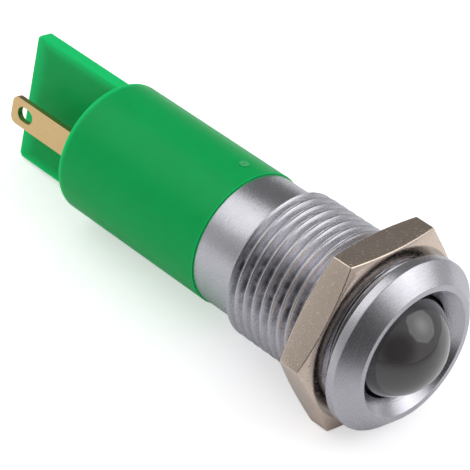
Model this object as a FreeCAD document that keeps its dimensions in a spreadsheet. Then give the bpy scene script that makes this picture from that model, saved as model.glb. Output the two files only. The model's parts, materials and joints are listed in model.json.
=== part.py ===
"""Panel pilot light for a 14 mm panel hole, with a prominent dome lens and two solder tabs.

A turned bushing carries everything. Its flange bears on the front of the panel, with a seal ring
in a groove, and a hexagon nut on its thread clamps the panel from behind. The lens, its seal and the
lamp holder slide into the bore from the rear. The moulded housing follows them: its spigot plugs
the bore, its cavity holds the circuit board, and a fin behind it keeps the two solder tabs apart.

Frame: millimetres. The origin is on the axis, in the rear plane of the flange, where the panel
lies. +Y runs along the axis from the lens to the tabs, +Z is up and a flat of the nut faces down.
"""
import FreeCAD
import Part
import Sketcher
import math
import os

SIZES = (
    ("flange_width", 1.1, "outside of the thread to the outside of the flange"),
    ("flange_chamfer", 0.25, "rear edge of the flange"),
    ("bezel_height", 2.55, "flange rear plane to front rim"),
    ("rim_height", 1.08, "flange rear plane to the bevel"),
    ("mouth_diameter", 11.86, "inner edge of the flat front rim"),
    ("face_width", 0.53, "flat front rim"),
    ("recess_depth", 1.3, "front rim to the small end of the polished cone"),
    ("window_diameter", 9.7, "hole that the dome comes through"),
    ("lip_thickness", 0.7, "wall that holds the lens in"),
    ("lip_width", 0.45, "that wall, from the window to the bore"),
    ("edge_break", 0.1, "small chamfer on the metal edges"),
    ("thread_diameter", 13.9, "over the crests of the M14 x 1 thread"),
    ("thread_end", 13.0, "flange rear plane to the end of the thread"),
    ("thread_chamfer", 0.1, "rear edge of the thread"),
    ("thread_pitch", 1.0, "crest to crest"),
    ("thread_depth", 0.61, "crest to root"),
    ("thread_run_out", 0.7, "last root to the end of the thread"),
    ("shank_diameter", 12.52, "plain part behind the thread"),
    ("shank_end", 17.6, "flange rear plane to the end of the bushing"),
    ("panel_gap", 1.05, "flange to nut as the nut stands here"),
    ("nut_width", 16.8, "across the flats"),
    ("nut_thickness", 2.9, "front face to rear face"),
    ("nut_face_diameter", 16.26, "flat face inside the chamfer"),
    ("nut_chamfer_angle", 16.0, "degrees from the flat face"),
    ("nut_edge_round", 0.12, "the six long corners"),
    ("nut_lead", 0.2, "chamfer of the tapped hole"),
    ("thread_clearance", 0.04, "radial play of the nut on the thread"),
    ("seal_width", 0.31, "panel seal, from its hole to its outside"),
    ("seal_chamfer", 0.1, "rear outer corner of the seal"),
    ("seal_stand_out", 0.1, "panel seal behind the flange"),
    ("seal_groove_depth", 0.5, "groove for the seal in the rear of the flange"),
    ("window_clearance", 0.05, "radial play of the lens in the window"),
    ("dome_straight", 0.05, "straight side of the lens in front of its collar"),
    ("lens_flange_thickness", 1.0, "collar of the lens"),
    ("lens_seal_thickness", 0.7, "ring between lip and collar"),
    ("lens_cavity_radius", 2.9, "hollow behind the dome"),
    ("fit_clearance", 0.04, "radial play of pieces in the bore"),
    ("lamp_diameter", 5.0, "light-emitting diode"),
    ("lamp_flange_diameter", 5.8, "collar of the diode"),
    ("lamp_flange_thickness", 1.0, "collar of the diode"),
    ("lamp_length", 8.6, "tip to rear of the collar"),
    ("lamp_gap", 0.35, "tip of the diode to the lens hollow"),
    ("lead_size", 0.5, "square lead of the diode"),
    ("lead_pitch", 2.54, "between the leads"),
    ("lead_post_depth", 2.6, "dome centre to the top of the posts"),
    ("lead_run", 0.5, "straight lead behind the diode"),
    ("lead_foot", 2.6, "lead soldered on the board"),
    ("cup_radius", 0.7, "rim of the reflector cup"),
    ("cup_floor_radius", 0.35, "floor of the reflector cup"),
    ("cup_root_radius", 0.52, "underside of the reflector cup"),
    ("cup_depth", 0.5, "reflector cup, and the metal under it"),
    ("chip_size", 0.3, "square light-emitting chip"),
    ("board_thickness", 1.0, "circuit board"),
    ("board_clearance", 0.2, "edge of the board to the wall of the hollow"),
    ("board_gap", 1.8, "rear of the diode to the front edge of the board"),
    ("housing_diameter", 12.8, "moulded housing"),
    ("housing_end", 35.3, "rear face of the housing"),
    ("housing_round", 0.3, "rear edge of the housing"),
    ("spigot_length", 5.6, "plug in the bushing"),
    ("cavity_diameter", 8.8, "hollow of the housing"),
    ("rear_wall", 3.0, "wall that the tabs come through"),
    ("fin_thickness", 1.4, "fin between the tabs"),
    ("fin_width", 12.6, "fin between the tabs"),
    ("fin_end", 46.2, "rear edge of the fin"),
    ("fin_bevel", 0.3, "corners of the fin"),
    ("fin_round", 0.15, "long edges of the fin"),
    ("fin_roll", 7.0, "degrees that the fin is turned from upright"),
    ("gate_place", 2.0, "front of the barrel to the moulding gate"),
    ("gate_diameter", 0.95, "moulding gate"),
    ("gate_height", 0.06, "moulding gate above the barrel"),
    ("gate_root", 0.3, "moulding gate below the barrel's surface"),
    ("tab_width", 2.7, "solder tab"),
    ("tab_thickness", 0.55, "solder tab"),
    ("tab_offset", 3.06, "middle plane to the inner face of a tab"),
    ("tab_end", 45.1, "tip of a tab"),
    ("tab_corner", 0.7, "round at the tip of a tab"),
    ("tab_hole_length", 2.0, "wire hole"),
    ("tab_hole_width", 1.4, "wire hole"),
    ("tab_hole_place", 1.85, "tip of the tab to the middle of the hole"),
    ("tab_slot_clearance", 0.04, "play of the tab in the rear wall"),
    ("tab_foot", 3.0, "end of the tab on the board"),
    ("tab_inner_run", 3.0, "straight tab in front of the rear wall"),
    ("resin_depth", 5.0, "casting resin in front of the rear wall"),
    ("solder_margin", 0.45, "solder beside a lead"),
    ("solder_height", 0.45, "solder above the board"),
    ("solder_slope", 0.36, "slope of the solder's outer sides"),
    ("chip_part_length", 3.2, "chip resistor or capacitor"),
    ("chip_part_width", 1.6, "chip resistor or capacitor"),
    ("chip_part_cap", 0.5, "metal end of a chip part"),
    ("chip_part_step", 0.05, "metal ends proud of the ceramic"),
    ("resistor_height", 0.6, "chip resistor"),
    ("capacitor_height", 1.4, "chip capacitor"),
    ("diode_length", 4.3, "moulded protection diode"),
    ("diode_width", 2.6, "moulded protection diode"),
    ("diode_height", 2.0, "moulded protection diode"),
    ("diode_foot_width", 1.45, "flat feet of the protection diode"),
    ("diode_foot_height", 1.0, "flat feet of the protection diode"),
    ("diode_foot_reach", 0.25, "feet beyond the moulding"),
)

ROOT_3 = math.sqrt(3)
CREST_SHARE = 8
BEND_ANGLE = 45.0
BEND_SETBACK = math.tan(math.radians(BEND_ANGLE / 2))
HALF_TURN = 180.0
TOUCH = 1e-4

doc = FreeCAD.newDocument("panel_pilot_light")
sheet = doc.addObject("Spreadsheet::Sheet", "Sizes")
pieces = {}


class Size:
    """A length that keeps its number together with the sheet formula that gives it."""

    def __init__(self, number, formula):
        self.number = number
        self.formula = formula

    def __add__(self, other):
        return Size(self.number + number_of(other), f"({self.formula} + {formula_of(other)})")

    def __sub__(self, other):
        return Size(self.number - number_of(other), f"({self.formula} - {formula_of(other)})")

    def __mul__(self, other):
        return Size(self.number * number_of(other), f"({self.formula} * {formula_of(other)})")

    def __truediv__(self, other):
        return Size(self.number / number_of(other), f"({self.formula} / {formula_of(other)})")

    def __neg__(self):
        return Size(-self.number, f"(-1 * {self.formula})")


def number_of(value):
    return value.number if isinstance(value, Size) else value


def formula_of(value):
    return value.formula if isinstance(value, Size) else repr(value)


def size(name):
    """The driving dimension of that name."""
    return Size(float(sheet.getContents(sheet.getCellFromAlias(name))), f"Sizes.{name}")


def tangent(angle):
    """Tangent of an angle in degrees that the sheet holds."""
    return Size(math.tan(math.radians(angle.number)), f"tan({angle.formula} * 1 deg)")


def fill_sheet():
    for row, (name, value, meaning) in enumerate(SIZES, start=1):
        sheet.set(f"A{row}", meaning)
        sheet.set(f"B{row}", str(value))
        sheet.setAlias(f"B{row}", name)
    doc.recompute()


def new_body(label):
    body = doc.addObject("PartDesign::Body", label)
    body.Label = label
    pieces[label] = body
    return body


def keep(label, thing):
    """Names a finished object that isn't a body as one of the pieces."""
    thing.Label = label
    pieces[label] = thing


def roll(body, extra_turn=0.0):
    """Turns a piece about the axis with the fin; the far side gets half a turn more."""
    angle = size("fin_roll") + extra_turn
    axis = FreeCAD.Vector(0, 1, 0)
    body.Placement = FreeCAD.Placement(FreeCAD.Vector(), FreeCAD.Rotation(axis, angle.number))
    body.setExpression("Placement.Rotation.Angle", f"{angle.formula} * 1 deg")


def new_sketch(body, name, plane, lift=0.0):
    """A sketch on one of the body's origin planes, lifted along that plane's normal."""
    sketch = body.newObject("Sketcher::SketchObject", name)
    face = next(f for f in body.Origin.OriginFeatures if f.Role == plane)
    sketch.AttachmentSupport = [(face, "")]
    sketch.MapMode = "FlatFace"
    if isinstance(lift, Size):
        sketch.AttachmentOffset = FreeCAD.Placement(
            FreeCAD.Vector(0, 0, lift.number), FreeCAD.Rotation()
        )
        sketch.setExpression("AttachmentOffset.Base.z", lift.formula)
    return sketch


def hold(sketch, geometry, point, across, along):
    """Ties a point of the sketch to the sheet; None leaves that direction free."""
    for kind, axis, length in (("DistanceX", -2, across), ("DistanceY", -1, along)):
        if length is None:
            continue
        if number_of(length) == 0:
            sketch.addConstraint(Sketcher.Constraint("PointOnObject", geometry, point, axis))
            continue
        index = sketch.addConstraint(
            Sketcher.Constraint(kind, -1, 1, geometry, point, number_of(length))
        )
        sketch.setExpression(f"Constraints[{index}]", formula_of(length))


def flat(across, along):
    """A corner that a straight line leads to."""
    return {"at": (across, along), "centre": None}


def bend(across, along, centre_across, centre_along, clockwise):
    """A corner that an arc about a centre leads to."""
    return {
        "at": (across, along),
        "centre": (centre_across, centre_along),
        "clockwise": clockwise,
    }


def draw(sketch, corners):
    """Draws the closed outline that leads through the corners and back to the first."""
    joints = []
    count = len(corners)
    for index, corner in enumerate(corners):
        before = corners[index - 1]["at"]
        start = FreeCAD.Vector(number_of(before[0]), number_of(before[1]), 0)
        end = FreeCAD.Vector(number_of(corner["at"][0]), number_of(corner["at"][1]), 0)
        if corner["centre"] is None:
            geometry = sketch.addGeometry(Part.LineSegment(start, end), False)
            joints.append((geometry, 1, 2))
            continue
        centre = FreeCAD.Vector(
            number_of(corner["centre"][0]), number_of(corner["centre"][1]), 0
        )
        circle = Part.Circle(centre, FreeCAD.Vector(0, 0, 1), (start - centre).Length)
        first, last = (end, start) if corner["clockwise"] else (start, end)
        angles = [math.atan2(p.y - centre.y, p.x - centre.x) for p in (first, last)]
        geometry = sketch.addGeometry(Part.ArcOfCircle(circle, *angles), False)
        joints.append((geometry, 2, 1) if corner["clockwise"] else (geometry, 1, 2))
    for index in range(count):
        geometry, entry, leave = joints[index]
        following, next_entry, next_leave = joints[(index + 1) % count]
        sketch.addConstraint(
            Sketcher.Constraint("Coincident", geometry, leave, following, next_entry)
        )
    for index, corner in enumerate(corners):
        geometry, entry, leave = joints[index]
        across, along = corner["at"]
        if corner["centre"] is None:
            hold(sketch, geometry, leave, across, along)
            continue
        hold(sketch, geometry, 3, *corner["centre"])
        if number_of(across) == number_of(corner["centre"][0]):
            hold(sketch, geometry, leave, across, None)
        else:
            hold(sketch, geometry, leave, None, along)


def circle_of(sketch, radius, across=0, along=0):
    centre = FreeCAD.Vector(number_of(across), number_of(along), 0)
    normal = FreeCAD.Vector(0, 0, 1)
    geometry = sketch.addGeometry(Part.Circle(centre, normal, number_of(radius)), False)
    hold(sketch, geometry, 3, across, along)
    index = sketch.addConstraint(Sketcher.Constraint("Radius", geometry, number_of(radius)))
    sketch.setExpression(f"Constraints[{index}]", formula_of(radius))


def box_corners(low_across, high_across, low_along, high_along):
    return [
        flat(low_across, low_along),
        flat(high_across, low_along),
        flat(high_across, high_along),
        flat(low_across, high_along),
    ]


def turn(body, name, corners, kind="PartDesign::Revolution"):
    """Turns a half section about the axis: across is the radius, along is +Y."""
    sketch = new_sketch(body, f"{name}_section", "XY_Plane")
    draw(sketch, corners)
    feature = body.newObject(kind, name)
    feature.Profile = sketch
    feature.ReferenceAxis = (sketch, ["V_Axis"])
    feature.Angle = 360
    sketch.Visibility = False
    doc.recompute()
    return feature


def extrude(body, name, sketch, length, kind="PartDesign::Pad", reverse=False, middle=False):
    """Pads or pockets a sketch by a length of the sheet."""
    feature = body.newObject(kind, name)
    feature.Profile = sketch
    feature.Length = number_of(length)
    feature.setExpression("Length", formula_of(length))
    feature.Reversed = reverse
    if middle:
        feature.SideType = "Symmetric"
    sketch.Visibility = False
    doc.recompute()
    return feature


def edges_at(feature, test):
    """Names of the feature's edges whose middle passes the test."""
    names = []
    for index, edge in enumerate(feature.Shape.Edges, start=1):
        middle = edge.valueAt((edge.FirstParameter + edge.LastParameter) / 2)
        if test(edge, middle):
            names.append(f"Edge{index}")
    return names


def dress(body, name, kind, base, edge_names, amount):
    """Rounds or chamfers edges of the feature before it."""
    feature = body.newObject(kind, name)
    feature.Base = (base, edge_names)
    path = "Radius" if kind.endswith("Fillet") else "Size"
    setattr(feature, path, number_of(amount))
    feature.setExpression(path, formula_of(amount))
    doc.recompute()
    return feature


fill_sheet()

# Radii and stations along the axis that several pieces share
thread_radius = size("thread_diameter") / 2
bezel_radius = thread_radius + size("flange_width")
shank_radius = size("shank_diameter") / 2
window_radius = size("window_diameter") / 2
dome_radius = window_radius - size("window_clearance")
bore_radius = window_radius + size("lip_width")
fitted_radius = bore_radius - size("fit_clearance")
front_plane = -size("bezel_height")
recess_floor = front_plane + size("recess_depth")
lip_back = recess_floor + size("lip_thickness")
lens_seal_back = lip_back + size("lens_seal_thickness")
lens_back = lens_seal_back + size("lens_flange_thickness")
dome_centre = lens_seal_back - size("dome_straight")
dome_tip = dome_centre - dome_radius
seal_inner = thread_radius + size("thread_clearance")
seal_outer = seal_inner + size("seal_width")
seal_floor = -size("seal_groove_depth")
lamp_radius = size("lamp_diameter") / 2
lamp_tip = lens_back - size("lens_cavity_radius") + size("lamp_gap")
lamp_back = lamp_tip + size("lamp_length")
lamp_flange_front = lamp_back - size("lamp_flange_thickness")
shank_end = size("shank_end")
spigot_front = shank_end - size("spigot_length")
housing_end = size("housing_end")
rear_wall_front = housing_end - size("rear_wall")
board_face = size("board_thickness") / 2
board_front = lamp_back + size("board_gap")
cavity_radius = size("cavity_diameter") / 2


def cut_thread(body):
    """Thread as parallel V grooves, one a pitch, from its rear end forward to the flange."""
    pitch = size("thread_pitch")
    depth = size("thread_depth")
    last_root = size("thread_end") - size("thread_run_out")
    half_opening = (pitch - pitch / CREST_SHARE) / 2
    clear = size("edge_break")
    reach = half_opening * (depth + clear) / depth
    groove = turn(body, "thread_groove", [
        flat(thread_radius - depth, last_root),
        flat(thread_radius + clear, last_root - reach),
        flat(thread_radius + clear, last_root + reach),
    ], kind="PartDesign::Groove")
    spans = Size(
        math.floor(((last_root - half_opening) / pitch).number),
        f"floor({((last_root - half_opening) / pitch).formula})",
    )
    thread = body.newObject("PartDesign::LinearPattern", "thread_grooves")
    thread.Originals = [groove]
    thread.Direction = (groove.Profile[0], ["V_Axis"])
    thread.Reversed = True
    thread.Length = number_of(spans * pitch)
    thread.setExpression("Length", formula_of(spans * pitch))
    thread.Occurrences = number_of(spans + 1)
    thread.setExpression("Occurrences", formula_of(spans + 1))
    body.Tip = thread
    doc.recompute()


def make_bushing():
    """Turned brass bushing: recessed bezel, flange, thread and plain shank in one piece."""
    body = new_body("bezel_bushing")
    mouth_radius = size("mouth_diameter") / 2
    groove_radius = seal_outer + size("fit_clearance")
    back_edge = size("flange_chamfer")
    break_size = size("edge_break")
    thread_end = size("thread_end")
    chamfer = size("thread_chamfer")
    turn(body, "bushing_turning", [
        flat(window_radius, lip_back),
        flat(window_radius, recess_floor),
        flat(mouth_radius, front_plane),
        flat(mouth_radius + size("face_width"), front_plane),
        flat(bezel_radius, -size("rim_height")),
        flat(bezel_radius, -back_edge),
        flat(bezel_radius - back_edge, 0),
        flat(groove_radius, 0),
        flat(groove_radius, seal_floor),
        flat(thread_radius, seal_floor),
        flat(thread_radius, thread_end - chamfer),
        flat(thread_radius - chamfer, thread_end),
        flat(shank_radius, thread_end),
        flat(shank_radius, shank_end - break_size),
        flat(shank_radius - break_size, shank_end),
        flat(bore_radius + break_size, shank_end),
        flat(bore_radius, shank_end - break_size),
        flat(bore_radius, lip_back),
    ])
    cut_thread(body)


def make_nut():
    """Hexagon nut, chamfered on both faces."""
    body = new_body("panel_nut")
    flat_reach = size("nut_width") / 2
    corner_reach = size("nut_width") / ROOT_3
    thickness = size("nut_thickness")
    hexagon = new_sketch(body, "nut_hexagon", "XZ_Plane")
    draw(hexagon, [
        flat(corner_reach, 0),
        flat(corner_reach / 2, flat_reach),
        flat(-corner_reach / 2, flat_reach),
        flat(-corner_reach, 0),
        flat(-corner_reach / 2, -flat_reach),
        flat(corner_reach / 2, -flat_reach),
    ])
    blank = extrude(body, "nut_blank", hexagon, thickness, reverse=True)
    inner_limit = flat_reach.number
    long_corners = edges_at(
        blank,
        lambda edge, middle: edge.Curve.TypeId == "Part::GeomLine"
        and math.hypot(middle.x, middle.z) > inner_limit
        and abs(edge.tangentAt(edge.FirstParameter).y) > 0.5,
    )
    dress(body, "nut_corners", "PartDesign::Fillet", blank, long_corners, size("nut_edge_round"))
    hole_radius = thread_radius + size("thread_clearance")
    lead = size("nut_lead")
    turn(body, "nut_hole", [
        flat(0, 0),
        flat(hole_radius + lead, 0),
        flat(hole_radius, lead),
        flat(hole_radius, thickness - lead),
        flat(hole_radius + lead, thickness),
        flat(0, thickness),
    ], kind="PartDesign::Groove")
    face_radius = size("nut_face_diameter") / 2
    beyond = corner_reach + size("edge_break")
    drop = tangent(size("nut_chamfer_angle")) * (beyond - face_radius)
    turn(body, "nut_front_chamfer", [
        flat(face_radius, 0),
        flat(beyond, 0),
        flat(beyond, drop),
    ], kind="PartDesign::Groove")
    turn(body, "nut_rear_chamfer", [
        flat(face_radius, thickness),
        flat(beyond, thickness - drop),
        flat(beyond, thickness),
    ], kind="PartDesign::Groove")
    body.Placement.Base.y = number_of(size("panel_gap"))
    body.setExpression("Placement.Base.y", formula_of(size("panel_gap")))


def make_panel_seal():
    """Rubber ring in the groove of the flange, which stands out a little to meet the panel."""
    body = new_body("panel_seal_ring")
    back = size("seal_stand_out")
    corner = size("seal_chamfer")
    turn(body, "seal_turning", [
        flat(seal_inner, seal_floor),
        flat(seal_outer, seal_floor),
        flat(seal_outer, back - corner),
        flat(seal_outer - corner, back),
        flat(seal_inner, back),
    ])


def make_lens():
    """Moulded lens: a dome on a short cylinder, with a collar and a round hollow behind."""
    body = new_body("dome_lens")
    hollow = size("lens_cavity_radius")
    turn(body, "lens_turning", [
        flat(0, dome_tip),
        bend(dome_radius, dome_centre, 0, dome_centre, clockwise=False),
        flat(dome_radius, lens_seal_back),
        flat(fitted_radius, lens_seal_back),
        flat(fitted_radius, lens_back),
        flat(hollow, lens_back),
        bend(0, lens_back - hollow, 0, lens_back, clockwise=True),
    ])


def make_lens_seal():
    """Square-cut rubber ring between the lip of the bushing and the collar of the lens."""
    body = new_body("lens_seal_ring")
    inner = dome_radius + size("fit_clearance")
    turn(body, "lens_seal_turning", box_corners(inner, fitted_radius, lip_back, lens_seal_back))


def make_lamp_holder():
    """Black sleeve that presses the lens home, centres the diode and meets the housing."""
    body = new_body("lamp_holder")
    clearance = size("fit_clearance")
    lamp_hole = lamp_radius + clearance
    collar_hole = size("lamp_flange_diameter") / 2 + clearance
    turn(body, "holder_turning", [
        flat(lamp_hole, lens_back),
        flat(fitted_radius, lens_back),
        flat(fitted_radius, spigot_front),
        flat(cavity_radius, spigot_front),
        flat(cavity_radius, lamp_back),
        flat(collar_hole, lamp_back),
        flat(collar_hole, lamp_flange_front),
        flat(lamp_hole, lamp_flange_front),
    ])


def strip_corners(front, back, front_level, back_level, bend_start, thickness):
    """Side view of a flat strip that steps up from one level to another at 45 degrees."""
    setback = thickness * BEND_SETBACK
    bend_end = bend_start + back_level - front_level
    return [
        flat(front_level, front),
        flat(front_level + thickness, front),
        flat(front_level + thickness, bend_start - setback),
        flat(back_level + thickness, bend_end - setback),
        flat(back_level + thickness, back),
        flat(back_level, back),
        flat(back_level, bend_end),
        flat(front_level, bend_start),
    ]


# Stations of the diode's leads and chip
post_front = lamp_tip + lamp_radius + size("lead_post_depth")
cup_back = post_front
cup_front = cup_back - size("cup_depth") * 2
lead_half = size("lead_size") / 2
lead_bend_start = lamp_back + size("lead_run")
lead_foot_front = lead_bend_start + board_face + lead_half
lead_end = lead_foot_front + size("lead_foot")
lead_solder_back = lead_end + size("solder_margin")


def make_lead(label, side):
    """One square lead of the diode: a post in the resin, a step, and a foot on the board."""
    body = new_body(label)
    side_view = new_sketch(body, f"{label}_side", "XY_Plane", size("lead_pitch") / 2 * side)
    draw(side_view, strip_corners(
        post_front, lead_end, -lead_half, board_face, lead_bend_start, size("lead_size")
    ))
    extrude(body, f"{label}_strip", side_view, size("lead_size"), middle=True)
    roll(body)
    return body


def make_cathode_cup(body):
    """The cathode's post carries the reflector cup on the axis."""
    cup = size("cup_radius")
    anvil = new_sketch(body, "anvil_plan", "XZ_Plane", -post_front)
    side_reach = -(size("lead_pitch") / 2 + lead_half)
    draw(anvil, box_corners(-lead_half, lead_half, side_reach, cup))
    extrude(body, "anvil", anvil, size("cup_depth") * 2, reverse=True)
    turn(body, "cup", [
        flat(0, cup_back - size("cup_depth")),
        flat(size("cup_floor_radius"), cup_back - size("cup_depth")),
        flat(cup - size("edge_break"), cup_front),
        flat(cup, cup_front),
        flat(size("cup_root_radius"), cup_back),
        flat(0, cup_back),
    ])


def make_lamp():
    """Diode: leads, chip, and the clear resin that is cast round them."""
    anode = make_lead("lamp_anode_lead", 1)
    cathode = make_lead("lamp_cathode_lead", -1)
    make_cathode_cup(cathode)
    chip = new_body("lamp_chip")
    chip_half = size("chip_size") / 2
    plan = new_sketch(chip, "chip_plan", "XZ_Plane", -(cup_back - size("cup_depth")))
    draw(plan, box_corners(-chip_half, chip_half, -chip_half, chip_half))
    extrude(chip, "chip_block", plan, size("chip_size"))
    roll(chip)
    cast = doc.addObject("PartDesign::Body", "lamp_casting")
    collar = size("lamp_flange_diameter") / 2
    turn(cast, "casting_turning", [
        flat(0, lamp_tip),
        bend(lamp_radius, lamp_tip + lamp_radius, 0, lamp_tip + lamp_radius, clockwise=False),
        flat(lamp_radius, lamp_flange_front),
        flat(collar, lamp_flange_front),
        flat(collar, lamp_back),
        flat(0, lamp_back),
    ])
    inserts = doc.addObject("Part::MultiFuse", "lamp_inserts")
    inserts.Shapes = [anode, cathode, chip]
    lamp = doc.addObject("Part::Cut", "lamp_body")
    lamp.Base = cast
    lamp.Tool = inserts
    keep("lamp_body", lamp)


def make_board():
    """Circuit board in the middle plane, from the holder to the rear wall."""
    body = new_body("circuit_board")
    half_width = cavity_radius - size("board_clearance")
    plan = new_sketch(body, "board_plan", "YZ_Plane")
    draw(plan, box_corners(board_front, rear_wall_front, -half_width, half_width))
    extrude(body, "board_sheet", plan, size("board_thickness"), middle=True)
    roll(body)
    return body


def make_chip_part(label, front, height, far_side):
    """Ceramic chip resistor or capacitor with its two metal ends."""
    body = new_body(label)
    back = front + size("chip_part_length")
    half_width = size("chip_part_width") / 2
    step = size("chip_part_step")
    cap = size("chip_part_cap")
    core = new_sketch(body, f"{label}_core", "YZ_Plane", board_face)
    draw(core, box_corners(front, back, step - half_width, half_width - step))
    extrude(body, f"{label}_block", core, height - step)
    ends = new_sketch(body, f"{label}_ends", "YZ_Plane", board_face)
    draw(ends, box_corners(front, front + cap, -half_width, half_width))
    draw(ends, box_corners(back - cap, back, -half_width, half_width))
    extrude(body, f"{label}_caps", ends, height)
    roll(body, HALF_TURN if far_side else 0.0)


def make_protection_diode(label, front):
    """Moulded diode on two flat feet."""
    body = new_body(label)
    back = front + size("diode_length")
    half_width = size("diode_width") / 2
    foot_half = size("diode_foot_width") / 2
    foot_out = size("diode_foot_reach")
    block = new_sketch(body, f"{label}_plan", "YZ_Plane", board_face)
    draw(block, box_corners(front + foot_out, back - foot_out, -half_width, half_width))
    extrude(body, f"{label}_block", block, size("diode_height"))
    feet = new_sketch(body, f"{label}_feet_plan", "YZ_Plane", board_face)
    draw(feet, box_corners(front, back, -foot_half, foot_half))
    extrude(body, f"{label}_feet", feet, size("diode_foot_height"))
    roll(body)


# Stations of the solder tabs inside the housing
tab_rise = size("tab_offset") - board_face
tab_bend = rear_wall_front - size("tab_inner_run") - tab_rise
tab_front = tab_bend - size("tab_foot")
tab_solder_front = tab_front - size("solder_margin")


def make_tab(label, far_side):
    """Gold-plated solder tab: a foot on the board, a step outwards, and a pierced blade."""
    body = new_body(label)
    thickness = size("tab_thickness")
    side_view = new_sketch(body, f"{label}_side", "XY_Plane")
    draw(side_view, strip_corners(
        tab_front, size("tab_end"), board_face, size("tab_offset"), tab_bend, thickness
    ))
    strip = extrude(body, f"{label}_strip", side_view, size("tab_width"), middle=True)
    tip = size("tab_end").number
    corners = edges_at(
        strip,
        lambda edge, middle: abs(middle.y - tip) < TOUCH
        and abs(edge.tangentAt(edge.FirstParameter).x) > 0.5,
    )
    dress(body, f"{label}_tip", "PartDesign::Fillet", strip, corners, size("tab_corner"))
    hole = new_sketch(body, f"{label}_hole_plan", "YZ_Plane", size("tab_offset"))
    middle = size("tab_end") - size("tab_hole_place")
    radius = size("tab_hole_width") / 2
    reach = size("tab_hole_length") / 2 - radius
    draw(hole, [
        flat(middle + reach, -radius),
        bend(middle + reach, radius, middle + reach, 0, clockwise=False),
        flat(middle - reach, radius),
        bend(middle - reach, -radius, middle - reach, 0, clockwise=False),
    ])
    extrude(body, f"{label}_hole", hole, thickness, kind="PartDesign::Pocket", reverse=True)
    roll(body, HALF_TURN if far_side else 0.0)
    return body


def make_solder(label, open_end, foot_end, heap_end, half_width, middle, far_side):
    """Solder fillet round the free end and the sides of a foot on the board."""
    body = new_body(label)
    margin = size("solder_margin")
    height = size("solder_height")
    low = -half_width + middle
    high = half_width + middle
    plan = new_sketch(body, f"{label}_plan", "YZ_Plane", board_face)
    draw(plan, box_corners(open_end, heap_end, low - margin, high + margin))
    heap = extrude(body, f"{label}_heap", plan, height)
    top = (board_face + height).number
    opening = open_end.number
    slope = edges_at(
        heap,
        lambda edge, point: abs(point.x - top) < TOUCH and abs(point.y - opening) > TOUCH,
    )
    dress(body, f"{label}_slope", "PartDesign::Chamfer", heap, slope, size("solder_slope"))
    seat = new_sketch(body, f"{label}_seat", "YZ_Plane", board_face)
    draw(seat, box_corners(open_end, foot_end, low, high))
    extrude(body, f"{label}_foot_room", seat, height, kind="PartDesign::Pocket", reverse=True)
    roll(body, HALF_TURN if far_side else 0.0)


def make_housing():
    """Green moulded housing: spigot, barrel with a closed rear wall, and the fin."""
    body = new_body("housing")
    radius = size("housing_diameter") / 2
    edge = size("housing_round")
    turn(body, "housing_turning", [
        flat(cavity_radius, spigot_front),
        flat(fitted_radius, spigot_front),
        flat(fitted_radius, shank_end),
        flat(radius, shank_end),
        flat(radius, housing_end - edge),
        bend(radius - edge, housing_end, radius - edge, housing_end - edge, clockwise=False),
        flat(0, housing_end),
        flat(0, rear_wall_front),
        flat(cavity_radius, rear_wall_front),
    ])
    fin_half = size("fin_width") / 2
    fin_end = size("fin_end")
    bevel = size("fin_bevel")
    fin_root = housing_end - size("rear_wall") / 2
    fin_plan = new_sketch(body, "fin_plan", "YZ_Plane")
    draw(fin_plan, [
        flat(fin_root, -fin_half),
        flat(fin_end - bevel, -fin_half),
        flat(fin_end, bevel - fin_half),
        flat(fin_end, fin_half - bevel),
        flat(fin_end - bevel, fin_half),
        flat(fin_root, fin_half),
    ])
    fin = extrude(body, "fin", fin_plan, size("fin_thickness"), middle=True)
    behind = housing_end.number + TOUCH
    side = size("fin_thickness").number / 2
    long_edges = edges_at(
        fin,
        lambda line, point: point.y > behind and abs(abs(point.x) - side) < TOUCH,
    )
    dress(body, "fin_edges", "PartDesign::Fillet", fin, long_edges, size("fin_round"))
    clearance = size("tab_slot_clearance")
    inner = size("tab_offset") - clearance
    outer = size("tab_offset") + size("tab_thickness") + clearance
    slot_half = size("tab_width") / 2 + clearance
    slots = new_sketch(body, "tab_slots", "XZ_Plane", -housing_end)
    draw(slots, box_corners(inner, outer, -slot_half, slot_half))
    draw(slots, box_corners(-outer, -inner, -slot_half, slot_half))
    extrude(body, "tab_openings", slots, size("rear_wall"), kind="PartDesign::Pocket",
            reverse=True)
    gate = new_sketch(body, "gate_plan", "XY_Plane", radius - size("gate_root"))
    circle_of(gate, size("gate_diameter") / 2, 0, shank_end + size("gate_place"))
    extrude(body, "gate_mark", gate, size("gate_root") + size("gate_height"))
    roll(body)


def make_resin(board, tabs):
    """Casting resin that seals the tabs and the end of the board in the housing."""
    plug = doc.addObject("Part::Cylinder", "resin_plug")
    depth = size("resin_depth")
    plug.setExpression("Radius", cavity_radius.formula)
    plug.setExpression("Height", depth.formula)
    plug.Placement = FreeCAD.Placement(
        FreeCAD.Vector(0, (rear_wall_front - depth).number, 0),
        FreeCAD.Rotation(FreeCAD.Vector(1, 0, 0), -90),
    )
    plug.setExpression("Placement.Base.y", (rear_wall_front - depth).formula)
    inserts = doc.addObject("Part::MultiFuse", "resin_inserts")
    inserts.Shapes = [board, *tabs]
    resin = doc.addObject("Part::Cut", "casting_resin")
    resin.Base = plug
    resin.Tool = inserts
    keep("casting_resin", resin)


def spread(lengths):
    """Starts of board parts that share the room between the solder joints with even gaps."""
    start = lead_solder_back
    free = tab_solder_front - start
    for length in lengths:
        free = free - length
    gap = free / (len(lengths) + 1)
    starts = []
    for length in lengths:
        starts.append(start + gap)
        start = start + gap + length
    return starts


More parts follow.
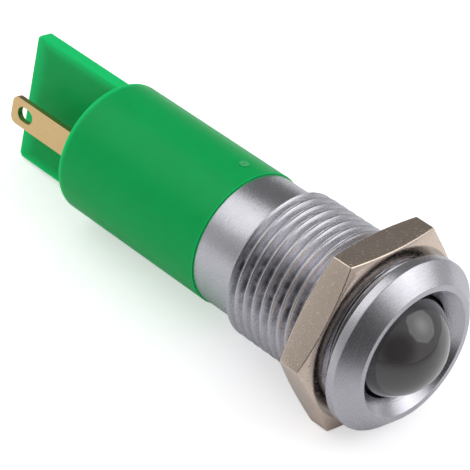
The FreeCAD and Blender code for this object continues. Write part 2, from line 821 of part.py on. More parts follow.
def make_board_parts():
    """The parts that drop the supply voltage to what the diode takes."""
    chip_length = size("chip_part_length")
    first, second = spread([chip_length, chip_length])
    make_chip_part("dropping_resistor_front", first, size("resistor_height"), True)
    make_chip_part("dropping_resistor_rear", second, size("resistor_height"), True)
    first, second = spread([size("diode_length"), chip_length])
    make_protection_diode("protection_diode", first)
    make_chip_part("smoothing_capacitor", second, size("capacitor_height"), False)


def make_all():
    make_bushing()
    make_nut()
    make_panel_seal()
    make_lens()
    make_lens_seal()
    make_lamp_holder()
    make_lamp()
    board = make_board()
    make_board_parts()
    right_tab = make_tab("solder_tab_right", False)
    left_tab = make_tab("solder_tab_left", True)
    tab_joint = (tab_bend - size("solder_margin"), tab_front, tab_solder_front)
    tab_half = size("tab_width") / 2
    make_solder("tab_solder_right", *tab_joint, tab_half, 0, False)
    make_solder("tab_solder_left", *tab_joint, tab_half, 0, True)
    lead_joint = (board_front + size("solder_margin"), lead_end, lead_solder_back)
    lead_middle = size("lead_pitch") / 2
    make_solder("anode_solder", *lead_joint, lead_half, lead_middle, False)
    make_solder("cathode_solder", *lead_joint, lead_half, -lead_middle, False)
    make_housing()
    make_resin(board, (right_tab, left_tab))
    doc.recompute()


def check_all():
    """Stops with a plain message if any object failed or any piece is empty or broken."""
    for thing in doc.Objects:
        if "Invalid" in thing.State or "Error" in thing.State:
            raise SystemExit(f"{thing.Label} could not be made: {thing.State}")
    for label, thing in pieces.items():
        shape = thing.Shape
        if shape.isNull() or not shape.isValid() or not shape.Solids:
            raise SystemExit(f"{label} has no valid solid")


def write_all():
    os.makedirs("parts", exist_ok=True)
    for label, thing in pieces.items():
        thing.Shape.exportStep(os.path.join("parts", f"{label}.step"))
        box = thing.Shape.BoundBox
        print(
            f"{label}: {len(thing.Shape.Solids)} solid, {thing.Shape.Volume:.2f} mm3, "
            f"x {box.XMin:.2f}..{box.XMax:.2f} y {box.YMin:.2f}..{box.YMax:.2f} "
            f"z {box.ZMin:.2f}..{box.ZMax:.2f}"
        )


make_all()
check_all()
write_all()
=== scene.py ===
# %% [markdown]
# # A panel pilot light, dressed for its picture
#
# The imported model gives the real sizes. This lesson makes the surfaces that the eye sees: a satin
# chrome bushing with its thread, a nickel nut, a smoked lens, a green moulded housing and gold
# tabs. Everything stays in the model's own frame: metres, +Y from the lens to the tabs, +Z up.

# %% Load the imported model
import json
import math

import bmesh
import bpy
from mathutils import Matrix, Vector


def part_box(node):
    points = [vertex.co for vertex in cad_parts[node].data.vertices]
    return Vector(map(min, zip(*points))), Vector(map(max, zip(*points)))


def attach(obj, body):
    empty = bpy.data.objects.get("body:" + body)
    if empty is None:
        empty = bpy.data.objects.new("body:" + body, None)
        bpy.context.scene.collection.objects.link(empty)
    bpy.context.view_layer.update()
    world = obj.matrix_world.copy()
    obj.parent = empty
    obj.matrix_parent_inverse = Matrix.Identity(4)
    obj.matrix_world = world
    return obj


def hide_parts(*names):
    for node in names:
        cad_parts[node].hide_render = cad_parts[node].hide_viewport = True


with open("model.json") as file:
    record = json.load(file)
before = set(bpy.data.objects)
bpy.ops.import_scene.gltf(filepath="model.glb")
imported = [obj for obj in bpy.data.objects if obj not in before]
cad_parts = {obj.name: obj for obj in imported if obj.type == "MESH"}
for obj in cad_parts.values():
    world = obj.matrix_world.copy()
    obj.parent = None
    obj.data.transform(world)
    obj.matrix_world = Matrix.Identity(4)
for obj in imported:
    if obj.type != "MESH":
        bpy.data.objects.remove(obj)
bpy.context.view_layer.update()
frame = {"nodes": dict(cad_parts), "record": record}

nodes = frame["nodes"]
scene = bpy.context.scene

# %% [markdown]
# ## Millimetres
#
# A part this small is thought of in millimetres, but Blender's unit is the metre. One value turns
# one into the other. Stations along the axis and radii are read from the boxes of the CAD nodes, so
# that the dressed pieces sit where the solids sit.

# %% Millimetres
MM = 0.001


def mm_box(node):
    """Lowest and highest corner of a CAD node, in millimetres."""
    low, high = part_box(node)
    return low / MM, high / MM


bushing_low, bushing_high = mm_box("bezel_bushing")
nut_low, nut_high = mm_box("panel_nut")
lens_low, lens_high = mm_box("dome_lens")
housing_high = mm_box("housing")[1]
print("nut from", round(nut_low.y, 2), "to", round(nut_high.y, 2), "mm behind the flange")

# %% [markdown]
# ## The camera
#
# The photograph was taken from the front left and above, through a long lens. A camera that was
# fitted to the outlines of the flange, the nut, the barrel and the fin gives the place and the view
# direction below. A long lens from far away keeps the perspective as gentle as in the photograph.

# %% The camera
CAMERA_PLACE = Vector((-133.35, -105.84, 125.62)) * MM
CAMERA_RIGHT = Vector((0.7258, -0.6816, 0.0928))
CAMERA_UP = Vector((0.3347, 0.4679, 0.8179))
CAMERA_LENS = 196.7
SENSOR_WIDTH = 36.0
NEAREST_SEEN = 10 * MM

camera = bpy.data.objects.new("camera", bpy.data.cameras.new("camera"))
scene.collection.objects.link(camera)
camera.data.lens = CAMERA_LENS
camera.data.sensor_width = SENSOR_WIDTH
camera.data.clip_start = NEAREST_SEEN
camera_back = CAMERA_RIGHT.cross(CAMERA_UP)
camera.matrix_world = Matrix.Translation(CAMERA_PLACE) @ Matrix(
    (CAMERA_RIGHT, CAMERA_UP, camera_back)
).transposed().to_4x4()
scene.camera = camera
print("camera is", round(CAMERA_PLACE.length / MM), "mm from the flange")

# %% [markdown]
# ## Nodes without fuss
#
# A shader tree is many small nodes. One function adds a node, sets it and links it, so that each
# material below reads from top to bottom. Colours are written as the hex values that a colour
# picker shows; one function turns them into the linear values that the renderer wants.


# %% Nodes without fuss
def empty_tree(owner):
    """The node tree of a material or a world, with nothing in it yet."""
    owner.use_nodes = True
    owner.node_tree.nodes.clear()
    return owner.node_tree


def add(tree, kind, inputs=None, **settings):
    """Adds a node; an input is given a value, or the socket that it is linked from."""
    node = tree.nodes.new(kind)
    for name, value in settings.items():
        setattr(node, name, value)
    for name, value in (inputs or {}).items():
        socket = node.inputs[name]
        if isinstance(value, bpy.types.NodeSocket):
            tree.links.new(value, socket)
        else:
            socket.default_value = value
    return node


def colour(hex_value):
    """Linear colour of an sRGB hex value such as b9b7c6; the numbers are the sRGB standard's."""
    linear = []
    for start in (0, 2, 4):
        share = int(hex_value[start:start + 2], 16) / 255
        low = share <= 0.04045
        linear.append(share / 12.92 if low else ((share + 0.055) / 1.055) ** 2.4)
    return (*linear, 1.0)


print("mid grey 808080 is", round(colour("808080")[0], 3), "in linear light")

# %% [markdown]
# ## The paper
#
# Metal has no look of its own: it shows the room around it. An image of a real studio could light
# the part, but then its lamps could not be moved. So the studio is built from few plain things:
# white paper, a dim room and two soft boxes, each of which can be turned up or down by itself.
#
# The part lies on the paper as such a light rests: a flat of the nut and a corner of the fin touch
# it, so the paper slopes a little in the part's own frame. It could run on behind the camera, but
# the metal of the photograph mirrors a dark edge there, so it ends close to the part.

# %% The paper
PAPER_HALF = 1500 * MM
PAPER_FRONT = 60 * MM
LIT_FROM = 5 * MM
PAPER_TURN = math.radians(-35)
PAPER_LIFT = 0.5
PAPER_FIBRE = 900.0
FIN_FOOT = -6.34

paper_slope = math.atan2(FIN_FOOT - nut_low.z, housing_high.y - nut_high.y)
paper_mesh = bpy.data.meshes.new("paper")
paper_mesh.from_pydata([
    (-PAPER_HALF, -PAPER_FRONT, 0), (PAPER_HALF, -PAPER_FRONT, 0),
    (PAPER_HALF, PAPER_HALF, 0), (-PAPER_HALF, PAPER_HALF, 0),
], [], [(0, 1, 2, 3)])
paper = bpy.data.objects.new("paper", paper_mesh)
scene.collection.objects.link(paper)
paper.matrix_world = (
    Matrix.Translation(Vector((0, nut_high.y, nut_low.z)) * MM)
    @ Matrix.Rotation(paper_slope, 4, "X")
    @ Matrix.Rotation(PAPER_TURN, 4, "Z")
)
print("the paper slopes by", round(math.degrees(paper_slope), 2), "degrees")

# %% [markdown]
# ## The paper's surface
#
# Paper is white with a faint fibre. On the camera's side its colour is darkened towards its front
# edge, a painted shadow that only the reflections show. A lamp that turned it fully white in the
# picture would also wash out the part, so the paper glows a little instead, and for the camera
# alone: the part is lit by plain paper.

# %% The paper's surface
paper_material = bpy.data.materials.new("matt_white_paper")
tree = empty_tree(paper_material)
ray = add(tree, "ShaderNodeLightPath")
seen = add(tree, "ShaderNodeMath", {
    0: ray.outputs["Is Camera Ray"], 1: PAPER_LIFT,
}, operation="MULTIPLY")
fibre = add(tree, "ShaderNodeTexNoise", {"Scale": PAPER_FIBRE, "Detail": 4.0})
tone = add(tree, "ShaderNodeMix", {
    "Factor": fibre.outputs["Fac"], "A": colour("f4f4f6"), "B": colour("fafafc"),
}, data_type="RGBA")
own = add(tree, "ShaderNodeTexCoord")
axes = add(tree, "ShaderNodeSeparateXYZ", {0: own.outputs["Object"]})
lit = add(tree, "ShaderNodeMapRange", {
    "Value": axes.outputs["Y"], "From Min": -PAPER_FRONT, "From Max": LIT_FROM,
}, interpolation_type="SMOOTHSTEP")
plain = add(tree, "ShaderNodeMath", {
    0: ray.outputs["Is Camera Ray"], 1: lit.outputs["Result"],
}, operation="MAXIMUM")
# painted shadow: towards the paper's front edge its colour fades to the grey 78787c, for every ray
# but the camera's
paper_painted_shade = add(tree, "ShaderNodeMix", {
    "Factor": plain.outputs["Value"], "A": colour("78787c"), "B": tone.outputs["Result"],
}, data_type="RGBA")
paper_shader = add(tree, "ShaderNodeBsdfPrincipled", {
    "Base Color": paper_painted_shade.outputs["Result"],
    "Roughness": 0.9,
    "Emission Color": colour("ffffff"),
    "Emission Strength": seen.outputs["Value"],
})
add(tree, "ShaderNodeOutputMaterial", {"Surface": paper_shader.outputs["BSDF"]})
paper_mesh.materials.append(paper_material)
print("the paper ends", round(PAPER_FRONT / MM), "mm from the foot of the nut")

# %% [markdown]
# ## The room
#
# The room is dim: darker low on the camera's side and in the far right corner, and a little darker
# on the left. Black cards could make the darker places, but they would also hide the lights. The
# world's own strength needs no cards: each darker place is a round spot with a soft rim. Only
# reflections, and what the lens lets through, show the spots. All other light is even.


# %% Directions in the room
def toward(azimuth, elevation):
    """Direction from the part to a place in the room; azimuth 0 is -Y, 90 is +X."""
    a = math.radians(azimuth)
    e = math.radians(elevation)
    return Vector((math.sin(a) * math.cos(e), -math.cos(a) * math.cos(e), math.sin(e)))


print("azimuth 90 at the floor is", [round(share) for share in toward(90, 0)])

# %% The room
ROOM_TONE = 0.42
ROOM_FILL = 0.6
SEEN_WHITE = 1.0
# each: direction, degrees at which it begins, degrees at which it is full, level
ROOM_SPOTS = (
    (toward(-36, 14), 46, 12, 0.05),
    (toward(132, 34), 44, 12, 0.16),
    (toward(-110, 0), 34, 8, 0.34),
)

world = bpy.data.worlds.new("studio")
scene.world = world
tree = empty_tree(world)
sky = add(tree, "ShaderNodeTexCoord")
level = ROOM_TONE
for direction, begins, full, spot_level in ROOM_SPOTS:
    facing = add(tree, "ShaderNodeVectorMath", {
        0: sky.outputs["Generated"], 1: direction,
    }, operation="DOT_PRODUCT")
    spot = add(tree, "ShaderNodeMapRange", {
        "Value": facing.outputs["Value"],
        "From Min": math.cos(math.radians(begins)),
        "From Max": math.cos(math.radians(full)),
    }, interpolation_type="SMOOTHSTEP")
    level = add(tree, "ShaderNodeMix", {
        "Factor": spot.outputs["Result"], "A": level, "B": spot_level,
    }, data_type="FLOAT").outputs["Result"]
ray = add(tree, "ShaderNodeLightPath")
mirrored = add(tree, "ShaderNodeMath", {
    0: ray.outputs["Is Glossy Ray"], 1: ray.outputs["Is Transmission Ray"],
}, operation="MAXIMUM")
shaped = add(tree, "ShaderNodeMix", {
    "Factor": mirrored.outputs["Value"], "A": ROOM_FILL, "B": level,
}, data_type="FLOAT")
strength = add(tree, "ShaderNodeMix", {
    "Factor": ray.outputs["Is Camera Ray"], "A": shaped.outputs["Result"], "B": SEEN_WHITE,
}, data_type="FLOAT")
background = add(tree, "ShaderNodeBackground", {
    "Color": colour("ffffff"), "Strength": strength.outputs["Result"],
})
add(tree, "ShaderNodeOutputWorld", {"Surface": background.outputs["Background"]})
print("the room has", len(ROOM_SPOTS), "darker places")

# %% [markdown]
# ## The soft boxes
#
# An eight-sided soft box stands to the right of the camera, and a square one behind on the left.
# Blender's area lamps are rectangles or ellipses, and evenly bright. So each box is a flat mesh
# that glows, and more so in its middle, where a real box has its lamp.

# %% The soft boxes
BOX_DISTANCE = 0.5
BOX_HALF = 0.30
EVEN_FROM = 0.7


def soft_box(name, azimuth, elevation, sides, level, centre_level):
    """A flat many-sided light that faces the part; it shows in reflections, not to the camera."""
    direction = toward(azimuth, elevation)
    corners = []
    for index in range(sides):
        angle = math.tau * (index + 0.5) / sides
        corners.append((BOX_HALF * math.cos(angle), BOX_HALF * math.sin(angle), 0))
    mesh = bpy.data.meshes.new(name)
    mesh.from_pydata(corners, [], [tuple(range(sides))])
    box = bpy.data.objects.new(name, mesh)
    scene.collection.objects.link(box)
    turn = direction.to_track_quat("Z", "Y").to_matrix().to_4x4()
    box.matrix_world = Matrix.Translation(direction * BOX_DISTANCE) @ turn
    box.visible_camera = False
    material = bpy.data.materials.new(f"{name}_cloth")
    tree = empty_tree(material)
    place = add(tree, "ShaderNodeTexCoord")
    from_centre = add(tree, "ShaderNodeVectorMath", {
        0: place.outputs["Object"],
    }, operation="LENGTH")
    glow = add(tree, "ShaderNodeMapRange", {
        "Value": from_centre.outputs["Value"],
        "From Min": 0.0, "From Max": BOX_HALF * EVEN_FROM,
        "To Min": centre_level, "To Max": level,
    }, interpolation_type="SMOOTHSTEP")
    lamp = add(tree, "ShaderNodeEmission", {
        "Color": colour("ffffff"), "Strength": glow.outputs["Result"],
    })
    add(tree, "ShaderNodeOutputMaterial", {"Surface": lamp.outputs["Emission"]})
    mesh.materials.append(material)


soft_box("key_soft_box", 37, 41, 8, level=1.12, centre_level=1.95)
soft_box("rear_soft_box", -156, 52, 4, level=1.1, centre_level=1.3)
print("soft boxes stand", BOX_DISTANCE, "m away and are", 2 * BOX_HALF, "m wide")

# %% [markdown]
# ## A material starts the same way each time
#
# Every material below needs an empty tree and the place on the piece in millimetres, so that a
# pattern can be given its real size. The object's own coordinates are used: they stay with the
# piece when it moves.


# %% A fresh material
def fresh_material(name):
    """An empty material, its tree, and the place on the piece in millimetres."""
    material = bpy.data.materials.new(name)
    tree = empty_tree(material)
    own = add(tree, "ShaderNodeTexCoord")
    place = add(tree, "ShaderNodeVectorMath", {
        0: own.outputs["Object"], "Scale": 1 / MM,
    }, operation="SCALE")
    return material, tree, place.outputs["Vector"]


print("a pattern of scale 1 repeats about once a millimetre")

# %% [markdown]
# ## Grime and painted shade in the thread
#
# The roots of the thread behind the nut, on the side that faces left, are darker: partly oil and
# dust settled there, partly painted shade where the nut and the thread itself hide the room from
# them. The darkening could be painted on, but that needs a flat layout of the piece. Here it is a
# product of ramps: each one says where it may be, and together they leave the roots.

# %% Grime and painted shade in the thread
STAINS_PER_MM = 1.2
GRIME_AND_SHADE_SIDE = Vector((-0.92, 0, 0.39))
CREST_RADIUS = 6.95
THREAD_END = 13.0


def thread_grime_and_shade(tree, place, radius, along):
    """How much grime and painted shade there is at a place, from 0 to 1."""
    aside = add(tree, "ShaderNodeVectorMath", {
        0: place, 1: GRIME_AND_SHADE_SIDE,
    }, operation="DOT_PRODUCT")
    stains = add(tree, "ShaderNodeTexNoise", {
        "Vector": place, "Scale": STAINS_PER_MM, "Detail": 2.0,
    })
    grime_and_shade = 1.0
    for value, none, most in (
        # below the crests, on the thread, behind the nut, on the shaded side, in patches
        (radius, CREST_RADIUS - 0.05, CREST_RADIUS - 0.5),
        (along, THREAD_END, THREAD_END - 0.1),
        (along, nut_high.y, nut_high.y + 0.2),
        (aside.outputs["Value"], 5.6, 6.5),
        (stains.outputs["Fac"], 0.3, 0.55),
    ):
        ramp = add(tree, "ShaderNodeMapRange", {
            "Value": value, "From Min": none, "From Max": most,
        })
        grime_and_shade = add(tree, "ShaderNodeMath", {
            0: ramp.outputs["Result"], 1: grime_and_shade,
        }, operation="MULTIPLY").outputs["Value"]
    return grime_and_shade


print("grime from", round(nut_high.y, 2), "to", THREAD_END, "mm behind the flange")

# %% [markdown]
# ## Satin chrome plate on turned brass
#
# The bushing is turned from brass bar, blasted to a satin finish and chrome plated. Turning leaves
# rings round the axis, blasting leaves fine grit marks, and chrome gives the cool grey. A picture
# of such rings would need a flat layout of the piece. Noise needs none: it is taken over the radius
# and the place along the axis, and so it is stretched round the piece. A lathe feed of 0.05 mm and
# a grit of 0.04 mm are finer than a pixel, so both are drawn over twice as coarse.

# %% Satin chrome plate
TURNING_FEED = 0.11
TURNING_STRETCH = 0.8
RADIUS_SHARE = 2.2
GRIT = 0.10
RELIEF = 0.04
CLOUDS_PER_MM = 0.7


def make_satin_chrome():
    """Cool grey metal with turning rings, a fine grit, and thread roots darkened by grime and
    painted shade.
    """
    material, tree, place = fresh_material("satin_chrome_plate")
    axes = add(tree, "ShaderNodeSeparateXYZ", {0: place})
    flat = add(tree, "ShaderNodeCombineXYZ", {"X": axes.outputs["X"], "Y": axes.outputs["Z"]})
    radius = add(tree, "ShaderNodeVectorMath", {0: flat.outputs["Vector"]}, operation="LENGTH")

    along = add(tree, "ShaderNodeMath", {
        0: axes.outputs["Y"], 1: RADIUS_SHARE, 2: radius.outputs["Value"],
    }, operation="MULTIPLY_ADD")
    ring = add(tree, "ShaderNodeMath", {
        0: along.outputs["Value"], 1: 1 / TURNING_FEED,
    }, operation="MULTIPLY")
    track = add(tree, "ShaderNodeCombineXYZ", {
        "X": axes.outputs["X"], "Y": ring.outputs["Value"], "Z": axes.outputs["Z"],
    })
    turning = add(tree, "ShaderNodeTexNoise", {
        "Vector": track.outputs["Vector"], "Scale": TURNING_STRETCH, "Detail": 2.0,
    })
    grit = add(tree, "ShaderNodeTexNoise", {"Vector": place, "Scale": 1 / GRIT, "Detail": 3.0})

    cloud = add(tree, "ShaderNodeTexNoise", {
        "Vector": place, "Scale": CLOUDS_PER_MM, "Detail": 2.0,
    })
    clean = add(tree, "ShaderNodeMix", {
        "Factor": cloud.outputs["Fac"], "A": colour("cecdd5"), "B": colour("dad9df"),
    }, data_type="RGBA")
    grime_and_shade = thread_grime_and_shade(tree, place, radius.outputs["Value"], axes.outputs["Y"])
    # grime and painted shade: on one side the thread's roots turn to the dark grey 68676b
    tone = add(tree, "ShaderNodeMix", {
        "Factor": grime_and_shade, "A": clean.outputs["Result"], "B": colour("68676b"),
    }, data_type="RGBA")

    gloss = add(tree, "ShaderNodeMapRange", {
        "Value": grit.outputs["Fac"], "To Min": 0.22, "To Max": 0.34,
    })
    grooves = add(tree, "ShaderNodeBump", {
        "Height": turning.outputs["Fac"], "Strength": 0.36, "Distance": RELIEF * MM,
    })
    blasted = add(tree, "ShaderNodeBump", {
        "Height": grit.outputs["Fac"], "Strength": 0.08, "Distance": RELIEF * MM,
        "Normal": grooves.outputs["Normal"],
    })
    shader = add(tree, "ShaderNodeBsdfPrincipled", {
        "Base Color": tone.outputs["Result"],
        "Metallic": 1.0,
        "Roughness": gloss.outputs["Result"],
        "Normal": blasted.outputs["Normal"],
    })
    add(tree, "ShaderNodeOutputMaterial", {"Surface": shader.outputs["BSDF"]})
    return material


satin_chrome = make_satin_chrome()
print("satin chrome: grit", GRIT, "mm, turning marks", TURNING_FEED, "mm")

# %% [markdown]
# ## Barrel nickel plate on a pressed brass nut
#
# Small nuts are plated loose in a turning barrel, so they knock each other: nickel gives a warm
# pale grey with a fine grain and a few bright nicks about 0.16 mm wide. Modelling each nick would
# cost thousands of faces, so one noise makes both: as it is for the grain, and only its peaks for
# the nicks. The round front face is turned and lies in the shade of the flange, so its tone is
# painted darker: painted shade.

# %% Barrel nickel plate
NICK = 0.16
NICK_DEPTH = 0.05
NICKEL_CLOUDS_PER_MM = 0.6


def make_nickel():
    """Warm pale metal with a fine grain, sparse nicks and a front face darkened by painted shade.
    """
    material, tree, place = fresh_material("barrel_nickel_plate")
    nicks = add(tree, "ShaderNodeTexNoise", {"Vector": place, "Scale": 1 / NICK, "Detail": 4.0})
    cloud = add(tree, "ShaderNodeTexNoise", {
        "Vector": place, "Scale": NICKEL_CLOUDS_PER_MM, "Detail": 3.0,
    })
    sides = add(tree, "ShaderNodeMix", {
        "Factor": cloud.outputs["Fac"], "A": colour("eedac8"), "B": colour("fae8da"),
    }, data_type="RGBA")
    axes = add(tree, "ShaderNodeSeparateXYZ", {0: place})
    # painted shade: the round front face, in the shade of the flange, gets the darker tone c4b8ac
    front = add(tree, "ShaderNodeMapRange", {
        "Value": axes.outputs["Y"], "From Min": nut_low.y + 0.03, "From Max": nut_low.y + 0.01,
    })
    tone = add(tree, "ShaderNodeMix", {
        "Factor": front.outputs["Result"], "A": sides.outputs["Result"], "B": colour("c4b8ac"),
    }, data_type="RGBA")
    gloss = add(tree, "ShaderNodeMapRange", {
        "Value": nicks.outputs["Fac"],
        "From Min": 0.3, "From Max": 0.7, "To Min": 0.14, "To Max": 0.30,
    })
    grain = add(tree, "ShaderNodeBump", {
        "Height": nicks.outputs["Fac"], "Strength": 0.15, "Distance": NICK_DEPTH * MM,
    })
    pit = add(tree, "ShaderNodeMapRange", {
        "Value": nicks.outputs["Fac"], "From Min": 0.65, "From Max": 0.71,
    })
    dents = add(tree, "ShaderNodeBump", {
        "Height": pit.outputs["Result"], "Strength": 0.3, "Distance": NICK_DEPTH * MM,
        "Normal": grain.outputs["Normal"],
    })
    shader = add(tree, "ShaderNodeBsdfPrincipled", {
        "Base Color": tone.outputs["Result"],
        "Metallic": 1.0,
        "Roughness": gloss.outputs["Result"],
        "Normal": dents.outputs["Normal"],
    })
    add(tree, "ShaderNodeOutputMaterial", {"Surface": shader.outputs["BSDF"]})
    return material


barrel_nickel = make_nickel()
print("barrel nickel: nicks", NICK, "mm")

# %% [markdown]
# ## Smoked polycarbonate
#
# The lens is moulded from tinted polycarbonate in a polished mould: a mirror-smooth surface over a
# nearly black body that lets a little light through, so the lamp below shows as a faint patch. A
# full glass would be darker and slower, because little light finds its way out again. So a third of
# the body is clear and the rest is a plain dark grey, and a clear coat gives the polish.

# %% Smoked polycarbonate
POLYCARBONATE_IOR = 1.58
HAZE_PER_MM = 0.35
WAVES_PER_MM = 0.8


def make_smoked_polycarbonate():
    """Dark clear plastic with a polished skin."""
    material, tree, place = fresh_material("smoked_polycarbonate")
    haze = add(tree, "ShaderNodeTexNoise", {"Vector": place, "Scale": HAZE_PER_MM, "Detail": 2.0})
    tone = add(tree, "ShaderNodeMix", {
        "Factor": haze.outputs["Fac"], "A": colour("4a4647"), "B": colour("545051"),
    }, data_type="RGBA")
    waves = add(tree, "ShaderNodeTexNoise", {
        "Vector": place, "Scale": WAVES_PER_MM, "Detail": 1.0,
    })
    skin = add(tree, "ShaderNodeMapRange", {
        "Value": waves.outputs["Fac"], "To Min": 0.06, "To Max": 0.12,
    })
    shader = add(tree, "ShaderNodeBsdfPrincipled", {
        "Base Color": tone.outputs["Result"],
        "Roughness": skin.outputs["Result"],
        "IOR": POLYCARBONATE_IOR,
        "Specular IOR Level": 0.6,
        "Coat Weight": 1.0,
        "Coat Roughness": 0.03,
        "Coat IOR": 1.6,
        "Transmission Weight": 0.35,
    })
    add(tree, "ShaderNodeOutputMaterial", {"Surface": shader.outputs["BSDF"]})
    return material


smoked_polycarbonate = make_smoked_polycarbonate()
print("smoked polycarbonate: IOR", POLYCARBONATE_IOR)

# %% [markdown]
# ## Painted glow at thin edges, and the gate
#
# The green plastic of the housing is a little translucent. Light leaves it again at thin edges,
# which look brighter: the edges of the fin and both rims of the barrel. That glow is painted into
# the colour, as a painted glow and a painted highlight on the rims. A small pale ring marks the
# gate, where the plastic flowed into the mould. The housing could be cut up so that each of these
# places had a material of its own, but the borders would be hard. So each ramp of the first table
# says how near a place is to one of them, and the second table joins the ramps to two masks.

# %% Painted glow at thin edges, and the gate
ROLL = math.radians(7)
BARREL_FRONT = 17.6
BARREL_END = 35.3
FIN_END = housing_high.y
GATE_HEIGHT = 6.46
GATE_STATION = 19.6
fin_up = Vector((math.sin(ROLL), 0, math.cos(ROLL)))
gate = fin_up * GATE_HEIGHT + Vector((0, GATE_STATION, 0))


def nylon_masks(tree, place):
    """How much painted glow a place gets at the thin edges and rims, and how much of the gate's
    ring is there.
    """
    axes = add(tree, "ShaderNodeSeparateXYZ", {0: place})
    along = axes.outputs["Y"]
    flat = add(tree, "ShaderNodeCombineXYZ", {"X": axes.outputs["X"], "Y": axes.outputs["Z"]})
    radius = add(tree, "ShaderNodeVectorMath", {0: flat.outputs["Vector"]}, operation="LENGTH")
    up = add(tree, "ShaderNodeVectorMath", {0: place, 1: fin_up}, operation="DOT_PRODUCT")
    height = add(tree, "ShaderNodeMath", {0: up.outputs["Value"]}, operation="ABSOLUTE")
    from_gate = add(tree, "ShaderNodeVectorMath", {0: place, 1: gate}, operation="DISTANCE")

    mask = {}
    for name, value, start, end, most in (
        ("behind the barrel", along, BARREL_END - 0.02, BARREL_END + 0.02, 1),
        ("fin's rear edge", along, FIN_END - 2.0, FIN_END, 1),
        ("fin's long edges", height.outputs["Value"], 5.1, 6.3, 1),
        ("barrel's rear", along, BARREL_END - 0.8, BARREL_END - 0.2, 1),
        ("barrel's skin", radius.outputs["Value"], 5.9, 6.3, 1),
        ("front rim", along, BARREL_FRONT + 0.2, BARREL_FRONT, 0.4),
        ("gate's disc", from_gate.outputs["Value"], 0.55, 0.35, 1),
        ("round gate's middle", from_gate.outputs["Value"], 0.05, 0.2, 1),
    ):
        ramp = add(tree, "ShaderNodeMapRange", {
            "Value": value, "From Min": start, "From Max": end, "To Max": most,
        }, interpolation_type="SMOOTHSTEP")
        mask[name] = ramp.outputs["Result"]
    for name, first, second, operation in (
        ("fin", "fin's rear edge", "fin's long edges", "MAXIMUM"),
        ("fin", "fin", "behind the barrel", "MULTIPLY"),
        ("barrel", "barrel's rear", "barrel's skin", "MULTIPLY"),
        ("painted_glow", "fin", "barrel", "MAXIMUM"),
        ("painted_glow", "painted_glow", "front rim", "MAXIMUM"),
        ("gate", "gate's disc", "round gate's middle", "MULTIPLY"),
    ):
        mask[name] = add(tree, "ShaderNodeMath", {
            0: mask[first], 1: mask[second],
        }, operation=operation).outputs["Value"]
    return mask["painted_glow"], mask["gate"]


print("the gate is", GATE_STATION, "mm behind the flange")

# %% [markdown]
# ## Moulded green nylon
#
# The housing is injection moulded from green polyamide with glass fibre. The mould was spark
# eroded, so the skin is a fine matt grain, and the plastic swirls a little where it flowed.
# Subsurface light makes the green soft, but it is too even for the glow of the thin edges, so that
# glow is painted: both masks mix another tone into the colour, a brighter green for the painted
# glow and a pale one for the gate.

# %% Moulded green nylon
MOULD_GRAIN = 0.12
GRAIN_DEPTH = 0.02
FLOW_SWIRL = 2.5
GLOW_DEPTH = 0.4
NYLON_IOR = 1.53


def make_green_nylon():
    """Matt green plastic with painted glow at its thin edges and rims, and the mark of the gate."""
    material, tree, place = fresh_material("moulded_green_nylon")
    grain = add(tree, "ShaderNodeTexNoise", {
        "Vector": place, "Scale": 1 / MOULD_GRAIN, "Detail": 2.0,
    })
    swirl = add(tree, "ShaderNodeTexNoise", {
        "Vector": place, "Scale": 1 / FLOW_SWIRL, "Detail": 4.0, "Distortion": 0.8,
    })
    body = add(tree, "ShaderNodeMix", {
        "Factor": swirl.outputs["Fac"], "A": colour("00ad54"), "B": colour("00b960"),
    }, data_type="RGBA")

    painted_glow, gate_ring = nylon_masks(tree, place)
    # painted glow: at thin edges and rims the green turns to the brighter 08dc7a
    glowing = add(tree, "ShaderNodeMix", {
        "Factor": painted_glow, "A": body.outputs["Result"], "B": colour("08dc7a"),
    }, data_type="RGBA")
    tone = add(tree, "ShaderNodeMix", {
        "Factor": gate_ring, "A": glowing.outputs["Result"], "B": colour("52b87e"),
    }, data_type="RGBA")
    skin = add(tree, "ShaderNodeMapRange", {
        "Value": grain.outputs["Fac"], "To Min": 0.30, "To Max": 0.40,
    })
    eroded = add(tree, "ShaderNodeBump", {
        "Height": grain.outputs["Fac"], "Strength": 0.2, "Distance": GRAIN_DEPTH * MM,
    })
    shader = add(tree, "ShaderNodeBsdfPrincipled", {
        "Base Color": tone.outputs["Result"],
        "Roughness": skin.outputs["Result"],
        "IOR": NYLON_IOR,
        "Specular IOR Level": 0.15,
        "Subsurface Weight": 0.5,
        "Subsurface Radius": (0.3, 1.0, 0.5),
        "Subsurface Scale": GLOW_DEPTH * MM,
        "Normal": eroded.outputs["Normal"],
    })
    add(tree, "ShaderNodeOutputMaterial", {"Surface": shader.outputs["BSDF"]})
    return material


green_nylon = make_green_nylon()
print("green nylon: grain", MOULD_GRAIN, "mm, light goes", GLOW_DEPTH, "mm deep")

# %% [markdown]
# ## Gold plate on rolled brass
#
# The tabs are punched from rolled brass strip and gold plated. Rolling leaves straight marks along
# the tab; the punch leaves a darker, torn edge, which the thin faces show. The way a face points
# tells a thin face from a broad one, so the tabs need no second material.

# %% Gold plate on rolled brass
ROLLING_MARK = 0.10
MARK_STRETCH = (1, 0.08, 1)
SCRATCH_DEPTH = 0.02
tab_side = Vector((math.cos(ROLL), 0, -math.sin(ROLL)))


